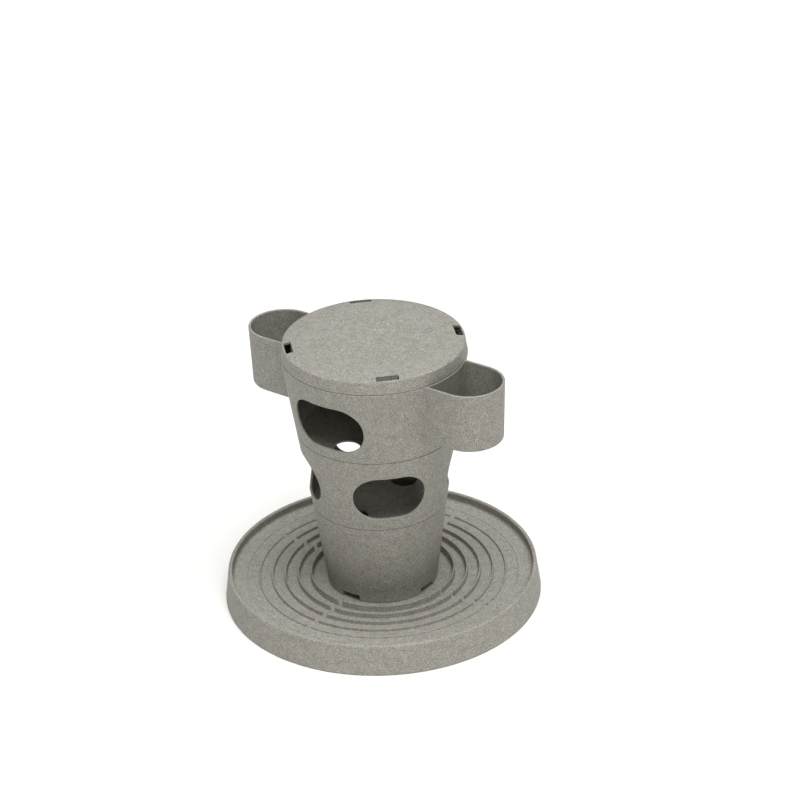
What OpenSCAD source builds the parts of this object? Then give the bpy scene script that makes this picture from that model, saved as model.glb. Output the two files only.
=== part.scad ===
// Gravity treat feeder for poultry: a tower of three stacking cups on a slow-feeding tray, with a lid.
// Millimetres, +Z up. The origin is the centre of the tray's underside, where the feeder stands.
// Angles run anticlockwise from +X seen from above, and the front of the feeder faces -Y.
// Every joint between two cups is the same four-lug bayonet: drop in, turn clockwise, and it is locked.

/* [Tray] */
// Outer diameter where the tray stands on the ground
tray_foot_d = 300; // [290:1:330]
// Outer diameter just under the rim
tray_rim_d = 292; // [284:1:288]
// Height of the rim
tray_h = 29; // [28:0.5:34]
// Thickness of the outer wall at the rim
tray_rim_t = 3.8; // [3:0.1:5]
// Thickness of the floor
tray_floor_t = 2.6; // [2:0.1:4]
// Height of the floor at its outer edge
floor_edge_z = 20.4; // [19:0.1:21]
// Height of the floor around the tower
floor_inner_z = 15; // [14:0.1:16]
// Number of round slow-feeding ribs on the floor
rib_count = 6; // [3:1:6]
// Radius of the innermost rib
rib_inner_r = 67.7; // [66:0.1:70]
// Distance from one rib to the next
rib_pitch = 12.3; // [11:0.1:12.5]
// Height of the innermost rib's top
rib_inner_top_z = 22.4; // [20:0.1:24]
// Height of the outermost rib's top
rib_outer_top_z = 20.2; // [20:0.1:21]
// Thickness of a rib at its top
rib_t = 1.5; // [1.2:0.1:2]
// Width of the four channels that cross the ribs
channel_w = 6; // [4:0.5:10]

/* [Tower] */
// Outer diameter of the tower where it stands in the tray
foot_d = 103.4; // [100:0.2:104]
// Outer diameter at the joint of the lower and middle cups
seam_a_d = 126.4; // [124:0.2:128]
// Outer diameter at the joint of the middle and upper cups
seam_b_d = 149.2; // [147:0.2:151]
// Outer diameter at the joint of the upper cup and the lid
seam_c_d = 171.6; // [170:0.2:173]
// Height of the joint of the lower and middle cups
seam_a_z = 101; // [99:0.5:103]
// Height of the joint of the middle and upper cups
seam_b_z = 177.5; // [176:0.5:179]
// Height of the joint of the upper cup and the lid
seam_c_z = 253.4; // [252:0.2:255]
// Thickness of the cups' walls
wall = 2.5; // [2.2:0.1:2.8]
// Width of the feed outlets in the tower's foot
outlet_w = 20; // [14:1:22]
// Height of the feed outlets
outlet_h = 6; // [5:0.5:8]

/* [Windows] */
// Width of the middle cup's four windows
low_window_w = 66; // [50:1:70]
// Height of the middle cup's windows
low_window_h = 44.6; // [40:0.2:46]
// Height of those windows' centre
low_window_z = 137; // [135:0.5:139]
// Width of the upper cup's two windows
high_window_w = 74; // [60:1:78]
// Height of the upper cup's windows
high_window_h = 46.2; // [42:0.2:48]
// Height of those windows' centre
high_window_z = 211.5; // [210:0.5:213]
// Radius of the windows' corners
window_corner_r = 21.5; // [15:0.5:22]

/* [Pockets] */
// Width of a side pocket at its rim
pocket_w = 64; // [54:0.2:66]
// How far a pocket's rim reaches from the tower's axis
pocket_reach = 137; // [130:1:140]
// Height of a pocket
pocket_h = 57.2; // [50:0.2:60]
// Slope of a pocket's walls, in degrees, that lets it leave its mould
pocket_draft = 1.8; // [1:0.1:2]
// Rounding of a pocket's bottom edge
pocket_round = 2; // [2:0.5:5]

/* [Lid] */
// Height of the lid above the upper cup
lid_h = 15.4; // [13:0.2:17]
// Outer diameter of the lid at its lower edge
lid_d = 170.6; // [169:0.2:171]
// How far the middle of the lid stands above its shoulder
lid_crown = 2.8; // [1:0.2:3.6]
// Rounding of the lid's shoulder
lid_round = 2; // [1:0.5:3]
// Width of the four slots in the lid
lid_slot_w = 21; // [16:1:22]
// Distance across a slot, towards the lid's middle
lid_slot_t = 7; // [5:0.1:7]

/* [Floors] */
// Thickness of a cup's floor
floor_t = 2.4; // [2:0.1:2.6]
// Diameter of the two feed holes in a floor
feed_hole_d = 24.4; // [16:0.2:26]

/* [Bayonets] */
// Angle from locked to free
twist = 22; // [20:1:24]
// Half of the angle that one lug covers
lug_half = 8; // [6:1:8]
// Clearance between the two halves of a bayonet
fit_gap = 0.4; // [0.3:0.05:0.5]

/* [Hidden] */
$fn = 120;

side_angles = [0, 90, 180, 270];
corner_angles = [45, 135, 225, 315];
high_window_angles = [45, 225];
feed_hole_angles = [45, 225];
pocket_angles = [135, 315];

seam_gap = 0.35;                 // what shows as a fine dark line between two cups
fuse = 1;                        // how far an added feature runs into the wall that carries it
arc_steps = 6;

// The bayonet: a spigot with outward lugs, and inward keepers in the mouth that it drops into.
seam_lug = 4;                    // how far a cup's keepers reach in
lid_lug = 7.4;                   // how far the keepers over the lid's lugs reach in
keeper_top = 4.2;                // depth of a keeper's top below the mouth
keeper_t = 2.5;
lug_t = 3.5;
keeper_half = lug_half + 1;
stop_clear = 0.6;                // degrees left between a lug and its stops
stop_span = 2.8;                 // degrees that a stop covers
stagger = 0.5;                   // keeps two faces of one moulding from falling in one plane
spigot_t = 2.2;
lug_top = keeper_top + keeper_t + fit_gap;
lug_low = lug_top + lug_t;
spigot_depth = lug_low + 1;

// Cups
rim_out_r = 0.8;                 // rounding of a cup's rim, outside and inside
rim_in_r = 0.6;
floor_drop = 1.2;                // depth of a cup's floor below its lower seam
floor_edge_gap = 1;              // room between a floor's edge and the mouth that it sits in
floor_corner = 2.5;              // how far the wall slopes in where it meets the floor
feed_hole_ring = 46.5;           // radius on which the upper cup's feed holes lie
core_over = 5;                   // how far the cutting core passes the upper cup's rim

foot_z = floor_inner_z + seam_gap;

// Lid
lid_top_z = seam_c_z + lid_h;
lid_top_t = 2.5;
lid_lean = 1.5;                  // how far its side leans in towards the top
crown_start_r = 52;              // inside this radius the lid's top is level
lid_edge_r = lid_d / 2 - lid_lean - lid_round;

// Tray
hub_r = 46;                      // outer radius of the tray's bayonet hub
hub_t = 2.6;
hub_top_z = 27;
cone_top_r = 8;                  // flat top of the feed cone in the middle of the tray
hub_lug = 3.2;
hub_arc_half = 27;               // half of the angle that one arc of the hub covers
support_r = 51;                  // middle of the ring under the tower
support_half_t = 1.2;
skirt_t = 3;
rib_flare = 0.3;                 // how much wider a slow-feeding rib is at its foot, on each side
rib_edge = 0.4;                  // bevel along a rib's top
stiffener_count = 8;
stiffener_t = 2;
stiffener_clear = 4;

function arc(cx, cy, r, from, to) =
    [for (i = [0:arc_steps]) let (a = from + (to - from) * i / arc_steps) [cx + r * cos(a), cy + r * sin(a)]];
function floor_z(r) = floor_inner_z + (floor_edge_z - floor_inner_z) * (r - seat_r) / (floor_edge_r - seat_r);
function stop_angles(a) =
    [for (s = [-lug_half, twist + lug_half]) a + s + sign(s) * (stop_clear + stop_span / 2)];
function rib_r(i) = rib_inner_r + rib_pitch * i;
function rib_top(i) = rib_inner_top_z + (rib_outer_top_z - rib_inner_top_z) * i / (rib_count - 1);
function crown_z(r) = lid_top_z - lid_crown * pow((r - crown_start_r) / (lid_edge_r - crown_start_r), 2);
function crown(from, to, below) =
    [for (i = [1:arc_steps]) let (r = from + (to - from) * i / arc_steps) [r, crown_z(r) - below]];
function upper_wall_r(z) = (seam_b_d + (seam_c_d - seam_b_d) * (z - seam_b_z) / (seam_c_z - seam_b_z)) / 2;

seat_r = foot_d / 2 + 5;          // the floor is level inside this radius, under the tower
floor_edge_r = tray_rim_d / 2 - tray_rim_t - 0.6;
hub_keeper_z = foot_z + lug_t + fit_gap;

// A block bent round the axis: from radius r1 to r2 and height z1 to z2, `half` degrees each way of `mid`.
module sector(r1, r2, z1, z2, mid, half) {
    rotate([0, 0, mid - half])
        rotate_extrude(angle = 2 * half)
            translate([r1, z1]) square([r2 - r1, z2 - z1]);
}

// Rounded rectangle pushed out along +X, from x = from to x = to, centred on height z.
module radial_window(w, h, r, z, from, to) {
    for (y = [-1, 1], v = [-1, 1])
        translate([from, y * (w / 2 - r), z + v * (h / 2 - r)])
            rotate([0, 90, 0]) cylinder(r = r, h = to - from);
    translate([from, -w / 2, z - h / 2 + r]) cube([to - from, w, h - 2 * r]);
    translate([from, -w / 2 + r, z - h / 2]) cube([to - from, w - 2 * r, h]);
}

// Inward keepers and stops in a mouth whose rim is at height z; locked, the lugs lie at the angles given.
module keepers(z, mouth_r, lug, angles) {
    inner = mouth_r - lug;
    for (a = angles) {
        sector(inner, mouth_r + fuse, z - keeper_top - keeper_t, z - keeper_top, a, keeper_half);
        for (m = stop_angles(a))
            sector(inner + stagger, mouth_r + fuse, z - lug_low, z - keeper_top - stagger, m, stop_span / 2);
    }
}

// Outward lugs round a spigot that hangs in a mouth. The mouth narrows by `lean` for each millimetre down.
module lugs(z, mouth_r, lug, lean) {
    for (a = side_angles)
        sector(mouth_r - lug - fit_gap - fuse, mouth_r - lean * lug_low - fit_gap, z - lug_low, z - lug_top,
               a, lug_half);
}

// A stacking cup from the seam below to the seam above: wall, floor, and the spigot under the floor.
module cup_shell(z_low, d_low, z_high, d_high) {
    z0 = z_low + seam_gap;
    mouth_r = d_low / 2 - wall;
    spigot_out = mouth_r - seam_lug - fit_gap;
    edge_r = mouth_r - floor_edge_gap;
    floor_top = z_low - floor_drop;
    under = floor_top - floor_t;
    hole_ring = feed_hole_ring * d_low / seam_b_d;
    difference() {
        rotate_extrude()
            polygon(concat(
                [[0, under], [spigot_out - spigot_t, under], [spigot_out - spigot_t, z_low - spigot_depth],
                 [spigot_out, z_low - spigot_depth], [spigot_out, under], [edge_r, under], [edge_r, z0],
                 [d_low / 2, z0]],
                arc(d_high / 2 - rim_out_r, z_high - rim_out_r, rim_out_r, 0, 90),
                arc(d_high / 2 - wall + rim_in_r, z_high - rim_in_r, rim_in_r, 90, 180),
                [[mouth_r, z0 + wall], [edge_r - floor_corner, floor_top], [0, floor_top]]));
        for (a = feed_hole_angles)
            rotate([0, 0, a])
                translate([hole_ring, 0, under - 1]) cylinder(d = feed_hole_d, h = floor_t + 2);
    }
}

module ribs() {
    difference() {
        for (i = [0:rib_count - 1])
            rotate_extrude()
                translate([rib_r(i), 0])
                    polygon([[-rib_t / 2 - rib_flare, floor_z(rib_r(i)) - fuse],
                             [rib_t / 2 + rib_flare, floor_z(rib_r(i)) - fuse],
                             [rib_t / 2, rib_top(i) - rib_edge], [rib_t / 2 - rib_edge, rib_top(i)],
                             [-rib_t / 2 + rib_edge, rib_top(i)], [-rib_t / 2, rib_top(i) - rib_edge]]);
        for (a = corner_angles)
            rotate([0, 0, a])
                translate([0, -channel_w / 2, 0]) cube([tray_foot_d / 2, channel_w, tray_h]);
    }
}

// Tray body: skirt, rounded rim, sloping floor, low feed cone in the middle, and a ring under the tower.
module tray_body() {
    rim_r = tray_rim_d / 2;
    half_t = tray_rim_t / 2;
    cone_r = hub_r - hub_t - 1;
    rotate_extrude()
        polygon(concat(
            [[tray_foot_d / 2, 0]],
            arc(rim_r - half_t, tray_h - half_t, half_t, 0, 180),
            [[floor_edge_r + 1.2, floor_edge_z + 1.2], [floor_edge_r, floor_edge_z],
             [seat_r, floor_inner_z], [cone_r, floor_inner_z],
             [cone_top_r, hub_top_z], [0, hub_top_z], [0, hub_top_z - tray_floor_t],
             [cone_top_r - 1, hub_top_z - tray_floor_t], [cone_r - 1, floor_inner_z - tray_floor_t],
             [support_r - support_half_t, floor_inner_z - tray_floor_t], [support_r - support_half_t, 0],
             [support_r + support_half_t, 0], [support_r + support_half_t, floor_inner_z - tray_floor_t],
             [seat_r, floor_inner_z - tray_floor_t],
             [floor_edge_r - 1, floor_edge_z - tray_floor_t], [tray_foot_d / 2 - skirt_t, 0]]));
}

module tray() {
    color("#8f8c84") {
        tray_body();
        ribs();
        // Hub of the bayonet: four arcs between the feed channels, with keepers over the lower cup's lugs.
        for (a = side_angles) {
            sector(hub_r - hub_t, hub_r, floor_inner_z - fuse, hub_top_z, a + twist / 2,
                   hub_arc_half);
            sector(hub_r - fuse, hub_r + hub_lug, hub_keeper_z, hub_keeper_z + keeper_t, a, keeper_half);
            for (m = stop_angles(a))
                sector(hub_r - fuse, hub_r + hub_lug - stagger, floor_inner_z - fuse,
                       hub_keeper_z + keeper_t - stagger, m, stop_span / 2);
        }
        // Stiffening ribs under the floor.
        intersection() {
            for (i = [0:stiffener_count - 1])
                rotate([0, 0, (i + 0.5) * 360 / stiffener_count])
                    translate([support_r, -stiffener_t / 2, stiffener_clear])
                        cube([tray_rim_d / 2 - support_r, stiffener_t, floor_edge_z - stiffener_clear]);
            rotate_extrude()
                polygon([[support_r, 0], [tray_foot_d / 2 - 1, 0], [floor_edge_r, floor_edge_z - 1],
                         [support_r, floor_inner_z - 1]]);
        }
    }
}

module lower_cup() {
    color("#8f8c84")
        difference() {
            union() {
                rotate_extrude()
                    polygon(concat(
                        [[foot_d / 2 - wall, foot_z], [foot_d / 2, foot_z]],
                        arc(seam_a_d / 2 - rim_out_r, seam_a_z - rim_out_r, rim_out_r, 0, 90),
                        arc(seam_a_d / 2 - wall + rim_in_r, seam_a_z - rim_in_r, rim_in_r, 90, 180)));
                keepers(seam_a_z, seam_a_d / 2 - wall, seam_lug, side_angles);
                for (a = side_angles)
                    sector(hub_r + fit_gap, foot_d / 2 - wall + fuse, foot_z + stagger, foot_z + lug_t,
                           a, lug_half);
            }
            for (a = corner_angles)
                rotate([0, 0, a])
                    translate([hub_r, -outlet_w / 2, foot_z - 1])
                        cube([foot_d / 2 + 2 - hub_r, outlet_w, outlet_h + 1]);
        }
}

module middle_cup() {
    color("#8f8c84") {
        difference() {
            cup_shell(seam_a_z, seam_a_d, seam_b_z, seam_b_d);
            for (a = side_angles)
                rotate([0, 0, a])
                    radial_window(low_window_w, low_window_h, window_corner_r, low_window_z,
                                  seam_a_d / 4, seam_b_d / 2 + 1);
        }
        keepers(seam_b_z, seam_b_d / 2 - wall, seam_lug, side_angles);
        lugs(seam_a_z, seam_a_d / 2 - wall, seam_lug, (seam_a_d - foot_d) / 2 / (seam_a_z - foot_z));
    }
}

// Half of a pocket's upright section: its outer face, or the inner face `inset` further in, open at the top.
module pocket_half_section(inset) {
    top_w = pocket_w / 2 - inset;
    low_w = top_w - pocket_h * tan(pocket_draft);
    z0 = seam_c_z - pocket_h + inset;
    r = pocket_round - inset / 2;
    polygon(concat([[0, seam_c_z + (inset > 0 ? 1 : 0)], [0, z0]],
                   arc(low_w - r, z0 + r, r, -90, 0),
                   [[top_w, seam_c_z + (inset > 0 ? 1 : 0)]]));
}

// A pocket's block: straight sides from the tower's axis, then a round end.
module pocket_block(inset) {
    centre = pocket_reach - pocket_w / 2;
    translate([centre, 0, 0]) rotate_extrude() pocket_half_section(inset);
    translate([centre / 2, 0, 0])
        rotate([90, 0, 90])
            linear_extrude(centre / 2) {
                pocket_half_section(inset);
                mirror([1, 0]) pocket_half_section(inset);
            }
}

module pocket() {
    difference() {
        pocket_block(0);
        pocket_block(wall);
        tower_core(stagger);
    }
}

// The solid inside the upper cup's outer face, moved in by `inset`.
module tower_core(inset) {
    top_z = seam_c_z + core_over;
    translate([0, 0, seam_b_z])
        cylinder(r1 = seam_b_d / 2 - inset, r2 = upper_wall_r(top_z) - inset, h = top_z - seam_b_z);
}

module upper_cup() {
    color("#8f8c84") {
        difference() {
            cup_shell(seam_b_z, seam_b_d, seam_c_z, seam_c_d);
            for (a = high_window_angles)
                rotate([0, 0, a])
                    radial_window(high_window_w, high_window_h, window_corner_r, high_window_z,
                                  seam_b_d / 4, seam_c_d / 2 + 1);
        }
        for (a = pocket_angles) rotate([0, 0, a]) pocket();
        lugs(seam_b_z, seam_b_d / 2 - wall, seam_lug, (seam_b_d - seam_a_d) / 2 / (seam_b_z - seam_a_z));
        keepers(seam_c_z, seam_c_d / 2 - wall, lid_lug, [for (a = side_angles) a - twist]);
    }
}

module lid() {
    z0 = seam_c_z + seam_gap;
    r_out = lid_d / 2;
    shoulder_z = lid_top_z - lid_crown - lid_round;
    spigot_out = seam_c_d / 2 - wall - lid_lug - fit_gap;
    spigot_in = spigot_out - spigot_t;
    z_end = seam_c_z - lug_low - stagger;
    color("#8f8c84") {
        difference() {
            rotate_extrude()
                polygon(concat(
                    [[r_out - wall, z0], [r_out, z0]],
                    arc(lid_edge_r, shoulder_z, lid_round, 0, 90),
                    crown(lid_edge_r, crown_start_r, 0),
                    [[0, lid_top_z], [0, lid_top_z - lid_top_t], [crown_start_r, lid_top_z - lid_top_t]],
                    crown(crown_start_r, spigot_in, lid_top_t),
                    [[spigot_in, z_end], [spigot_out, z_end], [spigot_out, crown_z(spigot_out) - lid_top_t]],
                    crown(spigot_out, lid_edge_r - stagger, lid_top_t),
                    [[r_out - lid_lean - wall, shoulder_z - stagger]]));
            for (a = side_angles)
                rotate([0, 0, a])
                    translate([spigot_out - stagger, -lid_slot_w / 2, shoulder_z - lid_top_t])
                        cube([lid_slot_t, lid_slot_w, lid_h]);
        }
        lugs(seam_c_z, seam_c_d / 2 - wall, lid_lug, (seam_c_d - seam_b_d) / 2 / (seam_c_z - seam_b_z));
    }
}

tray();
lower_cup();
middle_cup();
upper_cup();
lid();
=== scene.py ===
"""The looks of a gravity treat feeder for poultry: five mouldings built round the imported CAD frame.

Lengths are metres, and mm() turns a maker's millimetres into them. The origin is the middle of the
tray's underside, +Z is up and -Y is the front. Angles run anticlockwise from +X, seen from above.
"""
import logging
import math
from dataclasses import dataclass, field
from enum import Enum
from typing import Callable, Sequence

import bmesh
import bpy
import numpy as np
from mathutils import Matrix, Vector


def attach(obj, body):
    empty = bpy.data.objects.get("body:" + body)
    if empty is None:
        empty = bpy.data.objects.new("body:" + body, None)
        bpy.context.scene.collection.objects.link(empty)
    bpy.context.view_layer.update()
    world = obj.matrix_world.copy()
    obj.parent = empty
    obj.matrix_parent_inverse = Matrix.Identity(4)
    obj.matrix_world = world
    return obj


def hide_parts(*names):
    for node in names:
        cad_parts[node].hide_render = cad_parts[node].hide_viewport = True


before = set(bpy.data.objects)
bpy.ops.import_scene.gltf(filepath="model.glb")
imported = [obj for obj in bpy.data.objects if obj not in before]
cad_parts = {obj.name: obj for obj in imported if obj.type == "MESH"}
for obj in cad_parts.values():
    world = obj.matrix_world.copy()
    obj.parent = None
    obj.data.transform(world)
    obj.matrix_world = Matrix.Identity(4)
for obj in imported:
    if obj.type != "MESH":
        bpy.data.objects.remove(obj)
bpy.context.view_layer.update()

LOG = logging.getLogger("feeder")
Point2 = tuple[float, float]
Corner = tuple[float, float, float]

SIDES = (0.0, 90.0, 180.0, 270.0)
DIAGONALS = (45.0, 135.0, 225.0, 315.0)
WINDOW_DIAGONALS = (45.0, 225.0)
POCKET_DIAGONALS = (135.0, 315.0)


def mm(value: float) -> float:
    """Turns millimetres into metres."""
    return value / 1000.0


# ---------------------------------------------------------------------------------------------
# Mesh tools
# ---------------------------------------------------------------------------------------------
class Edge(Enum):
    """How a row of a surface's points ends: open, or joined back to its start."""

    OPEN = 0
    CLOSED = 1


class Shell:
    """Collects grids of points as quads, and welds them into one mesh."""

    def __init__(self, name: str) -> None:
        """Starts an empty shell.

        Args:
            name: the name that the finished object gets.
        """
        self.name = name
        self.points: list[np.ndarray] = []
        self.faces: list[tuple[int, ...]] = []
        self.count = 0

    def grid(self, points: np.ndarray, rows: Edge = Edge.OPEN, columns: Edge = Edge.OPEN) -> None:
        """Adds a grid of quads.

        Args:
            points: an array of shape (rows, columns, 3).
            rows: whether the last row joins the first.
            columns: whether the last column joins the first.
        """
        nr, nc = points.shape[:2]
        base = self.count
        self.points.append(points.reshape(-1, 3))
        self.count += nr * nc
        for i in range(nr - 1 + rows.value):
            for j in range(nc - 1 + columns.value):
                j2 = (j + 1) % nc
                here, ahead = base + i * nc, base + (i + 1) % nr * nc
                self.faces.append((here + j, here + j2, ahead + j2, ahead + j))

    def fan(self, ring: np.ndarray) -> None:
        """Closes a ring of points with one flat face.

        Args:
            ring: an array of shape (n, 3).
        """
        base = self.count
        self.points.append(ring)
        self.count += len(ring)
        self.faces.append(tuple(range(base, base + len(ring))))

    def build(self, weld: float = 2e-6) -> bpy.types.Object:
        """Makes the mesh object, with its faces turned outwards and shaded smooth.

        Args:
            weld: points closer than this become one.

        Returns:
            The new object, linked to the scene.
        """
        mesh = bpy.data.meshes.new(self.name)
        mesh.from_pydata(np.concatenate(self.points).tolist(), [], self.faces)
        work = bmesh.new()
        work.from_mesh(mesh)
        bmesh.ops.remove_doubles(work, verts=work.verts, dist=weld)
        bmesh.ops.dissolve_degenerate(work, edges=work.edges, dist=weld)
        bmesh.ops.recalc_face_normals(work, faces=work.faces)
        work.to_mesh(mesh)
        work.free()
        mesh.polygons.foreach_set("use_smooth", [True] * len(mesh.polygons))
        piece = bpy.data.objects.new(self.name, mesh)
        bpy.context.scene.collection.objects.link(piece)
        return piece


def rounded(corners: Sequence[Corner], edge: Edge, steps: int = 4, support: float = mm(0.35)) -> np.ndarray:
    """Turns an outline of corners into points, each corner rounded and held by a point on either side.

    Args:
        corners: (across, up, radius of the rounding) for each corner.
        edge: whether the outline closes on itself.
        steps: faces along each rounding.
        support: distance of the holding points from the rounding.

    Returns:
        An array of shape (n, 2).
    """
    flat = [np.array(c[:2]) for c in corners]
    out: list[np.ndarray] = []
    for i, (_, _, radius) in enumerate(corners):
        here = flat[i]
        if edge is Edge.OPEN and i in (0, len(corners) - 1):
            out.append(here)
            continue
        before, after = flat[i - 1] - here, flat[(i + 1) % len(flat)] - here
        long_b, long_a = np.linalg.norm(before), np.linalg.norm(after)
        before, after = before / long_b, after / long_a
        half = math.acos(float(np.clip(before @ after, -1, 1))) / 2
        if radius <= 0 or half > math.radians(89.5):
            out.append(here)
            continue
        reach = min(radius / math.tan(half), long_b * 0.47, long_a * 0.47)
        radius = reach * math.tan(half)
        centre = here + (before + after) / np.linalg.norm(before + after) * radius / math.sin(half)
        first, last = here + before * reach - centre, here + after * reach - centre
        turn = math.atan2(first[0] * last[1] - first[1] * last[0], float(first @ last))
        if long_b > 2 * reach + 2 * support:
            out.append(here + before * (reach + support))
        for k in range(steps + 1):
            a = turn * k / steps
            out.append(centre + np.array([first[0] * math.cos(a) - first[1] * math.sin(a),
                                          first[0] * math.sin(a) + first[1] * math.cos(a)]))
        if long_a > 2 * reach + 2 * support:
            out.append(here + after * (reach + support))
    return np.array(out)


def turned(outline: np.ndarray, angles: np.ndarray) -> np.ndarray:
    """Turns an outline round the Z axis.

    Args:
        outline: points (radius, height).
        angles: the angles at which it is placed, in degrees.

    Returns:
        An array of shape (angles, points, 3).
    """
    a = np.radians(angles)[:, None]
    r, z = outline[None, :, 0], outline[None, :, 1]
    return np.stack([r * np.cos(a), r * np.sin(a), z + 0 * a], axis=-1)


def on_circles(r: np.ndarray, angles: np.ndarray, z: np.ndarray) -> np.ndarray:
    """Puts points on circles round the Z axis."""
    a = np.radians(angles)
    return np.stack([r * np.cos(a), r * np.sin(a), z], axis=1)


def bent_block(shell: Shell, corners: Sequence[Corner], start: float, end: float, radius: float,
               round_end: float = mm(0.5), pitch: float = 2.0) -> None:
    """Adds a block bent round the Z axis, with rounded edges and rounded ends.

    Args:
        shell: the shell that it is added to.
        corners: its closed cross-section, as for rounded().
        start: angle of its first end, in degrees.
        end: angle of its last end.
        radius: where its angles are measured as lengths.
        round_end: rounding of the two ends.
        pitch: degrees from one section to the next.
    """
    outline = rounded(corners, Edge.CLOSED, steps=3, support=mm(0.25))
    middle = (outline.max(0) + outline.min(0)) / 2
    half = np.maximum((outline.max(0) - outline.min(0)) / 2, 1e-6)
    turns = [math.radians(22.5 * k) for k in range(5)]
    swell = math.degrees(round_end / radius)
    ends = [(swell * (1 - math.sin(t)), round_end * (1 - math.cos(t))) for t in reversed(turns)]
    sections = [(start + a, inset) for a, inset in ends]
    body = np.arange(start + swell, end - swell, pitch)[1:]
    sections += [(float(a), 0.0) for a in body]
    sections += [(end - a, inset) for a, inset in reversed(ends)]
    rows = []
    for angle, inset in sections:
        shrunk = middle + (outline - middle) * (1 - inset / half)
        rows.append(turned(shrunk, np.array([angle]))[0])
    shell.grid(np.array(rows), columns=Edge.CLOSED)
    shell.fan(rows[0])
    shell.fan(rows[-1])


@dataclass(frozen=True)
class Opening:
    """A rounded rectangle cut straight through a wall, measured in the plane that it is cut across."""

    across: float
    high: float
    corner: float
    centre: float
    turn_weight: float = mm(4.0)

    def walk(self, counts: tuple[int, int, int, int]) -> tuple[np.ndarray, np.ndarray]:
        """Points round the opening's outline, from the middle of its lower left corner anticlockwise.

        Args:
            counts: how many steps the lower, right, upper and left side get, each from corner to corner.

        Returns:
            For each point the centre that it is measured from, and the outward direction there.
        """
        w, h = self.across / 2 - self.corner, self.high / 2 - self.corner
        turn = (self.corner + self.turn_weight) * math.pi / 4
        centres, ways = [], []
        for side, count in enumerate(counts):
            long = 2 * (w if side % 2 == 0 else h)
            begin = (-w, -h) if side == 0 else (w, -h) if side == 1 else (w, h) if side == 2 else (-w, h)
            ahead = (math.cos(side * math.pi / 2), math.sin(side * math.pi / 2))
            for k in range(count):
                at = k / count * (2 * turn + long)
                lean = -math.pi / 4 * (1 - min(at / turn, 1))
                lean += math.pi / 4 * max((at - turn - long) / turn, 0)
                along = min(max(at - turn, 0), long)
                out = side * math.pi / 2 - math.pi / 2 + lean
                centres.append((begin[0] + ahead[0] * along, begin[1] + ahead[1] * along + self.centre))
                ways.append((math.cos(out), math.sin(out)))
        return np.array(centres), np.array(ways)


class HoledPatch:
    """A four-sided piece of a wall, outer and inner face, with one rounded opening cut through it."""

    rings = 9
    edge_steps = 4

    def __init__(self, opening: Opening, edge: float, counts: tuple[int, int, int, int]) -> None:
        """Keeps what the patch is made from.

        Args:
            opening: what is cut out.
            edge: rounding of the opening's edges.
            counts: how many steps the border's lower, right, upper and left side have.
        """
        self.opening = opening
        self.edge = edge
        self.centres, self.ways = opening.walk(counts)

    def outline(self, by: float) -> np.ndarray:
        """The opening's outline, moved out by a distance."""
        return self.centres + self.ways * (self.opening.corner + by)

    def add(self, shell: Shell, borders: tuple[np.ndarray, np.ndarray],
            lifts: tuple[Callable[[np.ndarray], np.ndarray], Callable[[np.ndarray], np.ndarray]],
            inwards: np.ndarray, place: Callable[[np.ndarray], np.ndarray]) -> None:
        """Adds both faces and the opening's edge.

        Args:
            shell: the shell that it is added to.
            borders: the outer and the inner face's border, as points in the plane.
            lifts: what puts a point of the plane on the outer and on the inner face.
            inwards: unit vector from the outer face to the inner one.
            place: what turns the finished points to where the patch belongs.
        """
        wide = self.outline(self.edge)
        shares = np.linspace(0, 1, self.rings + 1) ** 1.5
        for border, lift in zip(borders, lifts):
            rows = [lift(wide + (border - wide) * share) for share in shares]
            shell.grid(place(np.array(rows)), columns=Edge.CLOSED)
        lip = []
        for lift, way in zip(lifts, (1, -1)):
            half = []
            for k in range(self.edge_steps + 1):
                t = math.radians(90 * k / self.edge_steps)
                flat = self.outline(self.edge * (1 - math.sin(t)))
                half.append(lift(flat) + inwards * way * self.edge * (1 - math.cos(t)))
            lip += half if way == 1 else half[::-1]
        shell.grid(place(np.array(lip)), columns=Edge.CLOSED)


def smooth_by_area(piece: bpy.types.Object) -> None:
    """Shades a piece with normals weighted by face area, so that its flats stay flat.

    Args:
        piece: the mesh object.
    """
    modifier = piece.modifiers.new("even_shading", "WEIGHTED_NORMAL")
    modifier.weight = 60
    modifier.keep_sharp = True


# ---------------------------------------------------------------------------------------------
# Finishes
# ---------------------------------------------------------------------------------------------
def linear(hex_colour: str) -> tuple[float, float, float, float]:
    """Turns an sRGB colour such as "9a968c" into linear values with full alpha."""
    parts = [int(hex_colour[i:i + 2], 16) / 255 for i in (0, 2, 4)]
    return tuple([p / 12.92 if p <= 0.04045 else ((p + 0.055) / 1.055) ** 2.4 for p in parts] + [1.0])


def add_node(tree: bpy.types.NodeTree, kind: str, settings: dict | None = None,
             links: dict | None = None) -> bpy.types.Node:
    """Adds a shader node.

    Args:
        tree: the material's node tree.
        kind: the node's type name.
        settings: properties by name, or socket values by socket name or number.
        links: what feeds each socket, by socket name or number.

    Returns:
        The new node.
    """
    node = tree.nodes.new(kind)
    for key, value in (settings or {}).items():
        if isinstance(key, str) and hasattr(node, key):
            setattr(node, key, value)
        else:
            node.inputs[key].default_value = value
    for key, source in (links or {}).items():
        tree.links.new(source, node.inputs[key])
    return node


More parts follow.
